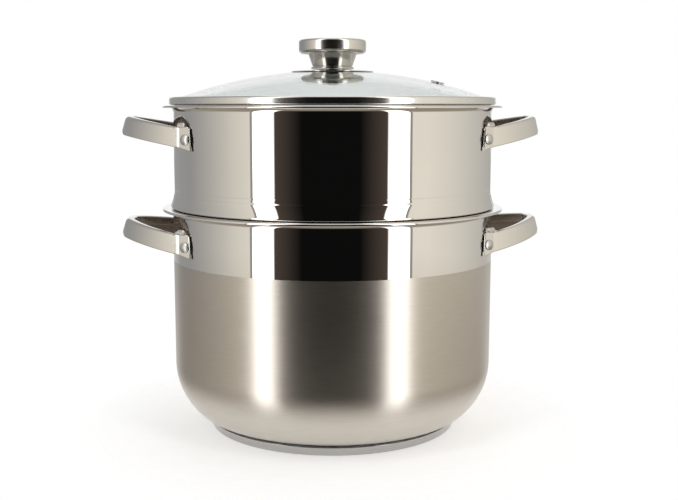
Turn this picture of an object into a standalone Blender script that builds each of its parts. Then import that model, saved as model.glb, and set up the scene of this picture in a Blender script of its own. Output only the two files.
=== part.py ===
"""Couscous pot: a deep pot, a steamer that stands in its mouth and a domed glass lid.

Metres, +Z up. The origin lies on the table under the middle of the base, and the four
loop handles lie along X. Each piece is one object, and the steamer and the lid each hang
on an empty on the pot's axis, along which they are lifted off.
"""
import math

import bmesh
import bpy
from mathutils import Matrix, Vector

# Fits
CLEARANCE = 0.0003
SPIGOT_GAP = 0.0016
SKIRT_GAP = 0.0006
HANDLE_WALL_GAP = 0.0003

# Pot
POT_INNER_RADIUS = 0.1200
POT_HEIGHT = 0.1670
POT_SHEET = 0.0008
CORNER_RADIUS = 0.0500
HEEL_RADIUS = 0.0250
RIM_BEND_RADIUS = 0.0008
RIM_LIP_RADIUS = 0.0009
POT_RIM_REACH = 0.0074

# Layered base
BASE_OVERHANG = 0.0068
BASE_HEIGHT = 0.0066
BASE_TAPER = 0.0010
BASE_BEVEL = 0.0008
BASE_SHEET = 0.0006

# Steamer
STEAMER_INSET = 0.0015
STEAMER_HEIGHT = 0.0757
STEAMER_SHEET = 0.0008
STEAMER_RIM_REACH = 0.0082
SPIGOT_DEPTH = 0.0275
SPIGOT_CORNER_RADIUS = 0.0120
BEAD_REACH = 0.0029
BEAD_RADIUS = 0.0010
BEAD_FLARE_HEIGHT = 0.0110
STEAM_HOLE_RADIUS = 0.0025
STEAM_HOLE_PITCH = 0.0160
STEAM_HOLE_RINGS = 5

# Lid
LID_OVERHANG = 0.0030
LID_SHEET = 0.0006
LID_LIP_REACH = 0.0052
LID_TOP_BEND = 0.0018
LID_SEAT_BEND = 0.0012
SKIRT_BEND = 0.0009
SKIRT_DEPTH = 0.0065
GLASS_THICKNESS = 0.0040
GLASS_EDGE_BEVEL = 0.0010
GLASS_FLAT_WIDTH = 0.0033
GLASS_HOLE_RADIUS = 0.0045
DOME_RISE = 0.0206
DOME_FILLET = 0.0100

# Steam vent of the lid
VENT_INSET = 0.0423
VENT_ANGLE = math.radians(-20.0)
VENT_HOLE_RADIUS = 0.0036
EYELET_FLANGE_RADIUS = 0.0051
EYELET_FLANGE_HEIGHT = 0.0009
EYELET_TAIL_RADIUS = 0.0046
EYELET_TAIL_HEIGHT = 0.0006
EYELET_BORE_RADIUS = 0.0020

# Knob, from the glass up, and its fastening under the glass
PLATE_RADIUS = 0.0310
PLATE_SHEET = 0.0009
FOOT_RADIUS = 0.0162
FOOT_HEIGHT = 0.0012
STEM_BOTTOM_RADIUS = 0.0150
STEM_TOP_RADIUS = 0.0186
STEM_HEIGHT = 0.0100
STEM_FLANGE_HEIGHT = 0.0016
STEM_BORE_DEPTH = 0.0090
KNOB_RADIUS = 0.0253
KNOB_HEIGHT = 0.0106
KNOB_SHEET = 0.0012
KNOB_EDGE_RADIUS = 0.0030
KNOB_CROWN = 0.0006
SCREW_RADIUS = 0.0022
SCREW_HEAD_RADIUS = 0.0045
SCREW_HEAD_HEIGHT = 0.0026
SCREW_TIP_GAP = 0.0010
SCREW_HOLE_GAP = 0.0004
GASKET_RADIUS = 0.0140
GASKET_HEIGHT = 0.0015
WASHER_RADIUS = 0.0160
WASHER_HEIGHT = 0.0010

# Handles: one pressed strap shape, used four times
HANDLE_REACH = 0.0392
HANDLE_SPAN = 0.1240
HANDLE_TIP_RADIUS = 0.0270
HANDLE_SIDE_ANGLE = math.radians(28.0)
HANDLE_DROP = 0.0239
HANDLE_RISE = 0.0082
HANDLE_END_HEIGHT = 0.0142
HANDLE_TIP_HEIGHT = 0.0138
HANDLE_SHEET = 0.0012
HANDLE_EDGE_RADIUS = 0.0022
LEDGE_STOP = 0.0050
LEDGE_END_WIDTH = 0.0032
LEDGE_TIP_WIDTH = 0.0076
LEDGE_LIP_DEPTH = 0.0068
LEAN_END = 0.05
LEAN_TIP = 0.32

# Pads: the flat ends of a handle, bent outwards and a little taller than the strap
PAD_ANGLE = math.radians(36.0)
PAD_LENGTH = 0.0098
PAD_DROP = 0.0024
PAD_RISE = 0.0008
PAD_CORNER = 0.0015

# Lugs and rivets that hold the handles
LUG_FOOT = 0.0005
LUG_START = 0.0020
LUG_LENGTH = 0.0130
LUG_THICKNESS = 0.0024
LUG_SHOULDER = 0.0015
LUG_HEAD = 0.0033
LUG_HEAD_WIDTH = 0.0052
LUG_ROUNDING = 0.0012
RIVET_INSET = 0.0047
RIVET_HEIGHT = 0.0057
RIVET_HEAD_RADIUS = 0.0038
RIVET_HEAD_HEIGHT = 0.0016
RIVET_SHANK_RADIUS = 0.0016
RIVET_HOLE_COVER = 0.0003

# Facets round each size of turned piece
SHELL_SIDES = 40
KNOB_SIDES = 24
SMALL_SIDES = 10
HOLE_SIDES = 6

# Sizes that follow
POT_RADIUS = POT_INNER_RADIUS + POT_SHEET
CORNER_STEP = (CORNER_RADIUS - HEEL_RADIUS) * math.sqrt(0.5)
FLOOR_RADIUS = POT_RADIUS - CORNER_RADIUS + CORNER_STEP
BASE_RADIUS = FLOOR_RADIUS + BASE_OVERHANG
STEAMER_RADIUS = POT_RADIUS - STEAMER_INSET
STEAMER_INNER_RADIUS = STEAMER_RADIUS - STEAMER_SHEET
LID_RADIUS = STEAMER_RADIUS + LID_OVERHANG
GLASS_RADIUS = LID_RADIUS - LID_SHEET - CLEARANCE
VENT_RADIUS = LID_RADIUS - VENT_INSET
STEAMER_TOP = POT_HEIGHT + STEAMER_HEIGHT
LID_SEAT = STEAMER_TOP + CLEARANCE
GLASS_RIM_BOTTOM = LID_SEAT + LID_SHEET + CLEARANCE
GLASS_RIM_TOP = GLASS_RIM_BOTTOM + GLASS_THICKNESS
DOME_FOOT_RADIUS = GLASS_RADIUS - GLASS_FLAT_WIDTH
DOME_RADIUS = 0.5 * (DOME_FOOT_RADIUS ** 2 + DOME_RISE ** 2) / DOME_RISE - DOME_FILLET
DOME_TOP = GLASS_RIM_TOP + DOME_RISE
DOME_CENTRE = DOME_TOP - DOME_RADIUS


def clear_scene():
    for item in list(bpy.data.objects):
        bpy.data.objects.remove(item, do_unlink=True)


def material(name, colour, roughness, metallic):
    surface = bpy.data.materials.new(name)
    surface.use_nodes = True
    shader = surface.node_tree.nodes["Principled BSDF"]
    shader.inputs["Base Color"].default_value = (*colour, 1.0)
    shader.inputs["Roughness"].default_value = roughness
    shader.inputs["Metallic"].default_value = metallic
    return surface


def glass_material(name, colour):
    surface = material(name, colour, 0.03, 0.0)
    shader = surface.node_tree.nodes["Principled BSDF"]
    shader.inputs["Transmission Weight"].default_value = 1.0
    shader.inputs["IOR"].default_value = 1.5
    return surface


def add_piece(name, mesh_builder, surface, parent=None):
    """Turn a bmesh into a smooth-shaded object with outward faces."""
    bmesh.ops.recalc_face_normals(mesh_builder, faces=mesh_builder.faces)
    mesh = bpy.data.meshes.new(name)
    mesh_builder.to_mesh(mesh)
    mesh_builder.free()
    mesh.materials.append(surface)
    mesh.shade_smooth()
    mesh.set_sharp_from_angle(angle=math.radians(35.0))
    piece = bpy.data.objects.new(name, mesh)
    bpy.context.collection.objects.link(piece)
    if parent:
        piece.parent = parent
        piece.matrix_parent_inverse = Matrix.Translation(-parent.location)
    return piece


def add_cutter(name, mesh_builder):
    cutter = add_piece(name, mesh_builder, material(name, (0.8, 0.2, 0.2), 0.5, 0.0))
    cutter.hide_render = True
    cutter.display_type = "WIRE"
    return cutter


def cut(piece, cutter):
    difference = piece.modifiers.new(cutter.name, "BOOLEAN")
    difference.operation = "DIFFERENCE"
    difference.solver = "EXACT"
    difference.object = cutter


def arc(centre, radius, start, end, steps):
    """Points of an arc in the (radius, height) plane, from the start to the end angle in degrees."""
    points = []
    for step in range(steps + 1):
        angle = math.radians(start + (end - start) * step / steps)
        points.append((centre[0] + radius * math.cos(angle), centre[1] + radius * math.sin(angle)))
    return points


def offset(chain, distance, first_direction=None):
    """The chain moved to its left by the distance, with mitred corners."""
    directions = []
    for (r0, z0), (r1, z1) in zip(chain, chain[1:]):
        directions.append(Vector((r1 - r0, z1 - z0)).normalized())
    before = [first_direction or directions[0]] + directions
    after = directions + [directions[-1]]
    moved = []
    for (r, z), d0, d1 in zip(chain, before, after):
        n0 = Vector((-d0[1], d0[0]))
        n1 = Vector((-d1[1], d1[0]))
        shift = (n0 + n1) * (distance / (1.0 + n0.dot(n1)))
        moved.append((r + shift.x, z + shift.y))
    return moved


def sheet(chain, thickness, first_direction=None):
    """Both sides of a bent sheet: the chain, then its offset on the left side, back to the start."""
    return chain + offset(chain, thickness, first_direction)[::-1]


def turned(chain, sides, closed=False):
    """Spin a chain of (radius, height) points round Z. An open chain's ends become flat discs."""
    builder = bmesh.new()
    verts = [builder.verts.new((r, 0.0, z)) for r, z in chain]
    edges = [builder.edges.new(pair) for pair in zip(verts, verts[1:])]
    if closed:
        edges.append(builder.edges.new((verts[-1], verts[0])))
    bmesh.ops.spin(
        builder, geom=verts + edges, cent=(0, 0, 0), axis=(0, 0, 1),
        angle=2.0 * math.pi, steps=sides, use_merge=True,
    )
    bmesh.ops.remove_doubles(builder, verts=builder.verts, dist=1e-7)
    if not closed:
        rings = [edge for edge in builder.edges if edge.is_boundary]
        bmesh.ops.holes_fill(builder, edges=rings, sides=0)
    return builder


def rim_chain(wall_radius, top, reach, thickness):
    """Underside of a rim: bent out of the wall, flat, then turned down at the edge."""
    bend = RIM_BEND_RADIUS
    lip = RIM_LIP_RADIUS
    flat = top - thickness
    edge = wall_radius + reach - thickness - lip
    chain = arc((wall_radius + bend, flat - bend), bend, 180, 90, 2)
    chain += arc((edge, flat - lip), lip, 90, 0, 2)
    return chain


def base_chain():
    """Outside of the base cap, from its flat bottom to its top edge."""
    bottom_radius = BASE_RADIUS - BASE_TAPER
    return [
        (bottom_radius - BASE_BEVEL, 0.0),
        (bottom_radius, BASE_BEVEL),
        (BASE_RADIUS, BASE_HEIGHT),
    ]


def build_base(steel, aluminium):
    flat = Vector((1.0, 0.0))
    add_piece("base_cap", turned(sheet(base_chain(), BASE_SHEET, flat), SHELL_SIDES), steel)
    core = offset(base_chain(), BASE_SHEET + CLEARANCE, flat)
    core[-1] = (core[-1][0], BASE_HEIGHT)
    add_piece("base_core", turned(core, SHELL_SIDES), aluminium)


def build_pot_shell(steel):
    """One drawn sheet: flat floor, two-radius lower rounding, wall and rolled-out rim."""
    floor = BASE_HEIGHT + CLEARANCE
    heel = (FLOOR_RADIUS, floor + HEEL_RADIUS)
    corner = (POT_RADIUS - CORNER_RADIUS, heel[1] + CORNER_STEP)
    chain = arc(heel, HEEL_RADIUS, -90, -45, 2)
    chain += arc(corner, CORNER_RADIUS, -45, 0, 4)[1:]
    chain += rim_chain(POT_RADIUS, POT_HEIGHT, POT_RIM_REACH, POT_SHEET)
    shell = turned(sheet(chain, POT_SHEET, Vector((1.0, 0.0))), SHELL_SIDES)
    add_piece("pot_shell", shell, steel)


def steam_hole_cutter(floor):
    """A prism for each steam hole: one in the middle and rings of six, twelve and so on."""
    builder = bmesh.new()
    centres = [Vector((0.0, 0.0, floor))]
    for ring in range(1, STEAM_HOLE_RINGS + 1):
        count = 6 * ring
        for number in range(count):
            turn = 2.0 * math.pi * (number + 0.5 * (ring % 2)) / count
            reach = ring * STEAM_HOLE_PITCH
            centres.append(Vector((reach * math.cos(turn), reach * math.sin(turn), floor)))
    for centre in centres:
        bmesh.ops.create_cone(
            builder, cap_ends=True, segments=HOLE_SIDES, radius1=STEAM_HOLE_RADIUS,
            radius2=STEAM_HOLE_RADIUS, depth=6.0 * STEAMER_SHEET, matrix=Matrix.Translation(centre),
        )
    return add_cutter("steam_hole_cutter", builder)


def build_steamer_shell(steel, parent):
    """One drawn sheet: perforated floor, spigot, bead that rests on the pot, wall and rim."""
    spigot = POT_INNER_RADIUS - SPIGOT_GAP
    floor = POT_HEIGHT - SPIGOT_DEPTH
    seat = POT_HEIGHT + CLEARANCE
    bend = BEAD_RADIUS
    bead = STEAMER_RADIUS + BEAD_REACH - BEAD_RADIUS
    corner = SPIGOT_CORNER_RADIUS
    chain = arc((spigot - corner, floor + corner), corner, -90, 0, 3)
    chain += arc((spigot + bend, seat - bend), bend, 180, 90, 1)
    chain += arc((bead, seat + bend), bend, -90, 0, 2)
    chain.append((STEAMER_RADIUS, seat + BEAD_FLARE_HEIGHT))
    chain += rim_chain(STEAMER_RADIUS, STEAMER_TOP, STEAMER_RIM_REACH, STEAMER_SHEET)
    shell = turned(sheet(chain, STEAMER_SHEET, Vector((1.0, 0.0))), SHELL_SIDES)
    piece = add_piece("steamer_shell", shell, steel, parent)
    cut(piece, steam_hole_cutter(floor + 0.5 * STEAMER_SHEET))


def build_lid_rim(steel, parent):
    """Bent band that clasps the edge of the glass, rests on the steamer and dips into it."""
    skirt = STEAMER_INNER_RADIUS - SKIRT_GAP
    top = GLASS_RIM_TOP + CLEARANCE + LID_SHEET
    chain = [(skirt, LID_SEAT - SKIRT_DEPTH)]
    chain += arc((skirt + SKIRT_BEND, LID_SEAT - SKIRT_BEND), SKIRT_BEND, 180, 90, 1)
    chain += arc((LID_RADIUS - LID_SEAT_BEND, LID_SEAT + LID_SEAT_BEND), LID_SEAT_BEND, -90, 0, 1)
    chain += arc((LID_RADIUS - LID_TOP_BEND, top - LID_TOP_BEND), LID_TOP_BEND, 0, 90, 2)
    chain.append((LID_RADIUS - LID_LIP_REACH, top))
    add_piece("lid_rim", turned(sheet(chain, LID_SHEET), SHELL_SIDES, closed=True), steel, parent)


def dome_height(radius, drop=0.0):
    """Height of the dome's top surface, or of a surface the drop below it, at a radius."""
    return DOME_CENTRE + math.sqrt((DOME_RADIUS - drop) ** 2 - radius ** 2)


def build_lid_glass(glass, parent, vent):
    """Domed glass with a flat edge, a middle hole for the knob's screw and a vent hole."""
    slope = math.atan2(DOME_FOOT_RADIUS, GLASS_RIM_TOP + DOME_FILLET - DOME_CENTRE)
    meeting = DOME_RADIUS * math.sin(slope)
    rings = [GLASS_HOLE_RADIUS, PLATE_RADIUS, 0.5 * (PLATE_RADIUS + VENT_RADIUS), VENT_RADIUS]
    rings.append(0.5 * (VENT_RADIUS + meeting))
    top = [(ring, dome_height(ring)) for ring in rings]
    centre = (DOME_FOOT_RADIUS, GLASS_RIM_TOP + DOME_FILLET)
    top += arc(centre, DOME_FILLET, -90 - math.degrees(slope), -90, 2)
    top.append((GLASS_RADIUS - GLASS_EDGE_BEVEL, GLASS_RIM_TOP))
    bottom = offset(top, -GLASS_THICKNESS)
    bottom[0] = (GLASS_HOLE_RADIUS, dome_height(GLASS_HOLE_RADIUS, GLASS_THICKNESS))
    side = [
        (GLASS_RADIUS, GLASS_RIM_TOP - GLASS_EDGE_BEVEL),
        (GLASS_RADIUS, GLASS_RIM_BOTTOM + GLASS_EDGE_BEVEL),
    ]
    outline = top + side + bottom[::-1]
    piece = add_piece("lid_glass", turned(outline, SHELL_SIDES, closed=True), glass, parent)
    hole = bmesh.new()
    bmesh.ops.create_cone(
        hole, cap_ends=True, segments=SMALL_SIDES, radius1=VENT_HOLE_RADIUS,
        radius2=VENT_HOLE_RADIUS, depth=4.0 * GLASS_THICKNESS, matrix=vent,
    )
    cut(piece, add_cutter("vent_hole_cutter", hole))


def vent_frame():
    """Place and tilt of the vent: its middle on the dome's top surface, its axis along the normal."""
    slope = math.asin(VENT_RADIUS / DOME_RADIUS)
    middle = Vector((VENT_RADIUS, 0.0, dome_height(VENT_RADIUS)))
    return (
        Matrix.Rotation(VENT_ANGLE, 4, "Z")
        @ Matrix.Translation(middle)
        @ Matrix.Rotation(slope, 4, "Y")
    )


def build_vent(steel, parent, vent):
    """Eyelet pressed through the vent hole, with a flange above and a rolled tail below."""
    neck = VENT_HOLE_RADIUS - CLEARANCE
    top = CLEARANCE + EYELET_FLANGE_HEIGHT
    under = -GLASS_THICKNESS - 2.0 * CLEARANCE
    rounding = 0.5 * EYELET_FLANGE_HEIGHT
    outline = [
        (EYELET_BORE_RADIUS, top),
        (EYELET_FLANGE_RADIUS - rounding, top),
        (EYELET_FLANGE_RADIUS, top - rounding),
        (EYELET_FLANGE_RADIUS, CLEARANCE),
        (neck, CLEARANCE),
        (neck, under),
        (EYELET_TAIL_RADIUS, under),
        (EYELET_TAIL_RADIUS, under - EYELET_TAIL_HEIGHT),
        (EYELET_BORE_RADIUS, under - EYELET_TAIL_HEIGHT),
    ]
    builder = turned(outline, SMALL_SIDES, closed=True)
    bmesh.ops.transform(builder, matrix=vent, verts=builder.verts)
    add_piece("vent_eyelet", builder, steel, parent)


def ring_outline(inner, outer, bottom, top):
    return [(inner, bottom), (outer, bottom), (outer, top), (inner, top)]


def build_knob(steel, silicone, parent):
    """Rosette, foot ring, tapered stem and hollow cap on the glass; gasket, washer and screw under it."""
    hole = SCREW_RADIUS + SCREW_HOLE_GAP

    rosette = [(hole, dome_height(hole) + CLEARANCE)]
    for share in (0.5, 1.0):
        rosette.append((share * PLATE_RADIUS, dome_height(share * PLATE_RADIUS) + CLEARANCE))
    outline = sheet(rosette, PLATE_SHEET)
    add_piece("knob_rosette", turned(outline, KNOB_SIDES, closed=True), steel, parent)

    foot_bottom = DOME_TOP + PLATE_SHEET + 2.0 * CLEARANCE
    foot_top = foot_bottom + FOOT_HEIGHT
    rounding = 0.4 * FOOT_HEIGHT
    outline = ring_outline(hole, FOOT_RADIUS, foot_bottom, foot_top)
    outline[2:3] = [(FOOT_RADIUS, foot_top - rounding), (FOOT_RADIUS - rounding, foot_top)]
    add_piece("knob_foot_ring", turned(outline, KNOB_SIDES, closed=True), steel, parent)

    stem_bottom = foot_top + CLEARANCE
    stem_top = stem_bottom + STEM_HEIGHT
    bore = SCREW_RADIUS + CLEARANCE
    flange = KNOB_RADIUS - KNOB_SHEET - CLEARANCE
    outline = [
        (bore, stem_bottom + STEM_BORE_DEPTH),
        (bore, stem_bottom),
        (STEM_BOTTOM_RADIUS, stem_bottom),
        (STEM_TOP_RADIUS, stem_top),
        (flange, stem_top),
        (flange, stem_top + STEM_FLANGE_HEIGHT),
    ]
    add_piece("knob_stem", turned(outline, KNOB_SIDES), steel, parent)

    cap_bottom = stem_top - CLEARANCE
    cap_top = cap_bottom + KNOB_HEIGHT
    edge = KNOB_EDGE_RADIUS
    chain = [(0.4 * KNOB_RADIUS, cap_top)]
    chain += arc((KNOB_RADIUS - edge, cap_top - KNOB_CROWN - edge), edge, 90, 0, 3)
    chain.append((KNOB_RADIUS, cap_bottom))
    outline = sheet(chain, -KNOB_SHEET, Vector((1.0, 0.0)))
    add_piece("knob_cap", turned(outline, KNOB_SIDES), steel, parent)

    gasket_top = dome_height(GASKET_RADIUS, GLASS_THICKNESS) - CLEARANCE
    gasket_bottom = gasket_top - GASKET_HEIGHT
    outline = ring_outline(hole, GASKET_RADIUS, gasket_bottom, gasket_top)
    add_piece("knob_gasket", turned(outline, KNOB_SIDES, closed=True), silicone, parent)

    washer_top = gasket_bottom - CLEARANCE
    washer_bottom = washer_top - WASHER_HEIGHT
    rounding = 0.5 * WASHER_HEIGHT
    outline = ring_outline(hole, WASHER_RADIUS, washer_bottom, washer_top)
    outline[1] = (WASHER_RADIUS - rounding, washer_bottom)
    outline.insert(2, (WASHER_RADIUS, washer_top - rounding))
    add_piece("knob_washer", turned(outline, KNOB_SIDES, closed=True), steel, parent)

    head_top = washer_bottom - CLEARANCE
    head_bottom = head_top - SCREW_HEAD_HEIGHT
    tip = stem_bottom + STEM_BORE_DEPTH - SCREW_TIP_GAP
    outline = [
        (0.5 * SCREW_HEAD_RADIUS, head_bottom),
        (SCREW_HEAD_RADIUS, head_bottom + 0.4 * SCREW_HEAD_HEIGHT),
        (SCREW_HEAD_RADIUS, head_top),
        (SCREW_RADIUS, head_top),
        (SCREW_RADIUS, tip),
    ]
    add_piece("knob_screw", turned(outline, SMALL_SIDES), steel, parent)


class HandlePlan:
    """Plan of a handle's outer lower edge on the +X side, seen from above.

    A tip arc round the X axis, a side arc that leaves it without a kink, and a straight
    pad, bent outwards at a crease, that runs to the wall. Angles are those of the outward
    normal, from +X.
    """

    def __init__(self, wall_radius):
        self.wall = wall_radius
        self.stop = wall_radius + HANDLE_WALL_GAP + HANDLE_SHEET
        self.tip = wall_radius + HANDLE_REACH
        self.pad_normal = 0.5 * math.pi - PAD_ANGLE
        self.side_normal = 0.5 * math.pi - HANDLE_SIDE_ANGLE
        half = 0.5 * HANDLE_SPAN
        self.end = Vector((math.sqrt(self.stop ** 2 - half ** 2), half))
        self.out = Vector((math.cos(PAD_ANGLE), -math.sin(PAD_ANGLE)))
        self.crease = self.end + self.out * PAD_LENGTH
        normal = self.normal(self.side_normal)
        self.tip_centre = Vector((self.tip - HANDLE_TIP_RADIUS, 0.0))
        chord = self.crease - self.tip_centre
        spare = 2.0 * (chord.dot(normal) - HANDLE_TIP_RADIUS)
        self.side_radius = (chord.length_squared - HANDLE_TIP_RADIUS ** 2) / spare
        self.side_centre = self.crease - normal * self.side_radius
        self.ledge_normal = self.side_normal - LEDGE_STOP / self.side_radius
        across = self.tip_centre - self.side_centre
        self.meeting = math.atan2(across.y, across.x)

    @staticmethod
    def normal(angle):
        return Vector((math.cos(angle), math.sin(angle)))

    def point(self, angle):
        if abs(angle) <= self.meeting:
            return self.tip_centre + self.normal(angle) * HANDLE_TIP_RADIUS
        place = self.side_centre + self.normal(abs(angle)) * self.side_radius
        return Vector((place.x, math.copysign(place.y, angle)))

    def base_height(self, x, mount):
        """Height of the lower edge: it climbs evenly from the crease to the tip."""
        return mount + HANDLE_RISE * (x - self.crease.x) / (self.tip - self.crease.x)


def place(plan_point, inward, up, lean, base, normal):
    """World point of a section's (inward, up) point: the section leans inward as it rises."""
    across = plan_point - normal * (inward + lean * up)
    return Vector((across.x, across.y, base + up))


def strap_wall(height):
    """Section of the strap's outer wall, as (inward, up) points."""
    t = HANDLE_SHEET
    r = HANDLE_EDGE_RADIUS
    shoulder = r * (1.0 - math.sqrt(0.5))
    return [
        (t, 0.0),
        (0.5 * t, 0.0),
        (0.0, 0.5 * t),
        (0.0, height - r),
        (shoulder, height - shoulder),
        (t, height - t),
    ]


def strap_ledge(height, width):
    """Section of the ledge and its lip, from the wall's shoulder round to its inner face."""
    t = HANDLE_SHEET
    bevel = 0.5 * t
    return [
        (HANDLE_EDGE_RADIUS, height),
        (width - bevel, height),
        (width, height - bevel),
        (width, height - LEDGE_LIP_DEPTH),
        (width - t, height - LEDGE_LIP_DEPTH),
        (width - t, height - t),
    ]


def slide_to_wall(point, direction, radius):
    """The point moved along a level direction until it lies at a radius from the Z axis."""
    flat = Vector((point.x, point.y))
    along = flat.dot(direction)
    spread = math.sqrt(along ** 2 - flat.length_squared + radius ** 2)
    reach = min(-along - spread, -along + spread, key=abs)
    moved = flat + direction * reach
    return Vector((moved.x, moved.y, point.z))


def pad_section(low, top):
    """Section of the flat pad, as (inward, up) points that match those of the strap's wall."""
    t = HANDLE_SHEET
    return [
        (t, low),
        (0.5 * t, low),
        (0.0, low + 0.5 * t),
        (0.0, top - 0.5 * t),
        (0.5 * t, top),
        (t, top),
    ]


def pad_ring(plan, mount, share, corner):
    """Section of the pad, the share of its length from the wall, its top corner cut down."""
    normal = plan.normal(plan.pad_normal)
    low = -PAD_DROP * (1.0 - share)
    top = HANDLE_END_HEIGHT + PAD_RISE * (1.0 - share) - corner
    ring = []
    for inward, up in pad_section(low, top):
        face = place(plan.end, 0.0, up, LEAN_END, mount, normal)
        at_wall = slide_to_wall(face, plan.out, plan.stop) - normal.to_3d() * inward
        at_crease = place(plan.crease, inward, up, LEAN_END, mount, normal)
        ring.append(at_wall.lerp(at_crease, share))
    return ring


def bridge(builder, first, second):
    """Quads between two rings of the same count."""
    count = len(first)
    for index in range(count):
        following = (index + 1) % count
        builder.faces.new((first[index], first[following], second[following], second[index]))


def strap_mesh(plan, mount):
    """The pressed strap: a wall with a ledge and lip, then the plain creased pads."""
    side_steps = 6
    tip_steps = 4
    start = plan.ledge_normal
    angles = []
    for step in range(side_steps):
        angles.append(start + (plan.meeting - start) * step / side_steps)
    for step in range(tip_steps + 1):
        angles.append(plan.meeting * (1.0 - 2.0 * step / tip_steps))
    angles += [-angle for angle in angles[side_steps - 1::-1]]

    builder = bmesh.new()
    rings = []
    for angle in angles:
        share = 1.0 - abs(angle) / start
        blend = share * share * (3.0 - 2.0 * share)
        centre = plan.point(angle)
        normal = plan.normal(angle)
        height = HANDLE_END_HEIGHT + (HANDLE_TIP_HEIGHT - HANDLE_END_HEIGHT) * blend
        width = LEDGE_END_WIDTH + (LEDGE_TIP_WIDTH - LEDGE_END_WIDTH) * blend
        lean = LEAN_END + (LEAN_TIP - LEAN_END) * blend
        base = plan.base_height(centre.x, mount)
        wall = strap_wall(height)
        section = wall[:5] + strap_ledge(height, width) + wall[5:]
        ring = []
        for inward, up in section:
            ring.append(builder.verts.new(place(centre, inward, up, lean, base, normal)))
        rings.append(ring)
    for first, second in zip(rings, rings[1:]):
        bridge(builder, first, second)

    mitre = plan.normal(0.5 * (plan.side_normal + plan.pad_normal))
    crease = []
    for inward, up in pad_section(0.0, HANDLE_END_HEIGHT):
        crease.append(place(plan.crease, inward, up, LEAN_END, mount, mitre))
    pad = [
        crease,
        pad_ring(plan, mount, PAD_CORNER / PAD_LENGTH, 0.0),
        pad_ring(plan, mount, 0.0, PAD_CORNER),
    ]
    for ring, side in ((rings[0], 1.0), (rings[-1], -1.0)):
        builder.faces.new(ring[4:])
        last = ring[:5] + ring[-1:]
        for points in pad:
            following = [builder.verts.new((x, side * y, z)) for x, y, z in points]
            bridge(builder, last, following)
            last = following
        builder.faces.new(last)
    return builder


def lug_mesh(plan, mount, side):
    """Wedge between the wall and the pad, with a plate at its outer end that rises above the strap."""
    normal = plan.normal(plan.pad_normal)
    inner = HANDLE_SHEET + CLEARANCE
    seat = plan.wall + CLEARANCE
    shoulder = HANDLE_END_HEIGHT - LUG_SHOULDER
    top = HANDLE_END_HEIGHT + LUG_HEAD
    head = LUG_LENGTH - LUG_HEAD_WIDTH
    levels = (
        (LUG_FOOT, LUG_START, 0.0),
        (shoulder, LUG_START, 0.0),
        (HANDLE_END_HEIGHT, head, 0.0),
        (top - LUG_ROUNDING, head, 0.0),
        (top, head, 0.5 * LUG_ROUNDING),
    )
    builder = bmesh.new()
    rings = []
    for up, start, inset in levels:
        corners = []
        for along, inward in (
            (start + inset, inner + inset),
            (LUG_LENGTH - inset, inner + inset),
            (LUG_LENGTH - inset, inner + LUG_THICKNESS - inset),
            (0.5 * (start + LUG_LENGTH), inner + LUG_THICKNESS - inset),
            (start + inset, inner + LUG_THICKNESS - inset),
        ):
            corner = place(plan.end + plan.out * along, inward, up, LEAN_END, mount, normal)
            corners.append(corner.xy)
        if up <= shoulder:
            foot = [corners[2].normalized() * seat, corners[0].normalized() * seat]
            corners[3:] = [foot[0], foot[1]]
        rings.append([builder.verts.new((x, side * y, mount + up)) for x, y in corners])
    for first, second in zip(rings, rings[1:]):
        bridge(builder, first, second)
    builder.faces.new(rings[0])
    builder.faces.new(rings[-1])
    return builder


def rivet_frame(plan, mount, side):
    """Place of a rivet: on the pad's outer face, its own +Z along the face's normal."""
    normal = plan.normal(plan.pad_normal)
    spot = plan.end + plan.out * RIVET_INSET
    middle = place(spot, 0.0, RIVET_HEIGHT, LEAN_END, mount, normal)
    axis = Vector((normal.x, normal.y, LEAN_END)).normalized()
    middle.y *= side
    axis.y *= side
    return Matrix.Translation(middle) @ axis.to_track_quat("Z", "Y").to_matrix().to_4x4()


def rivet_hole_depth(plan):
    """How far a rivet's hole goes in from the pad's outer face, short of the wall."""
    normal = plan.normal(plan.pad_normal)
    hole_radius = RIVET_SHANK_RADIUS + CLEARANCE
    nearest = plan.end + plan.out * (RIVET_INSET - hole_radius)
    start = place(nearest, 0.0, RIVET_HEIGHT + hole_radius, LEAN_END, 0.0, normal)
    on_wall = slide_to_wall(start, -normal, plan.wall + CLEARANCE)
    return (on_wall - start).length - RIVET_HOLE_COVER


def rivet_mesh(frame, depth):
    """Domed head outside the pad and a shank that ends inside the lug."""
    grip = CLEARANCE - depth
    head = RIVET_HEAD_RADIUS
    crown = CLEARANCE + RIVET_HEAD_HEIGHT
    outline = [
        (RIVET_SHANK_RADIUS, grip),
        (RIVET_SHANK_RADIUS, CLEARANCE),
        (head, CLEARANCE),
        (head, CLEARANCE + 0.3 * RIVET_HEAD_HEIGHT),
        (0.75 * head, CLEARANCE + 0.8 * RIVET_HEAD_HEIGHT),
        (0.35 * head, crown),
    ]
    builder = turned(outline, SMALL_SIDES)
    bmesh.ops.transform(builder, matrix=frame, verts=builder.verts)
    return builder


def rivet_cutter(name, frame, depth):
    builder = bmesh.new()
    bmesh.ops.create_cone(
        builder, cap_ends=True, segments=SMALL_SIDES, radius1=RIVET_SHANK_RADIUS + CLEARANCE,
        radius2=RIVET_SHANK_RADIUS + CLEARANCE, depth=2.0 * depth, matrix=frame,
    )
    return add_cutter(name, builder)


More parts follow.
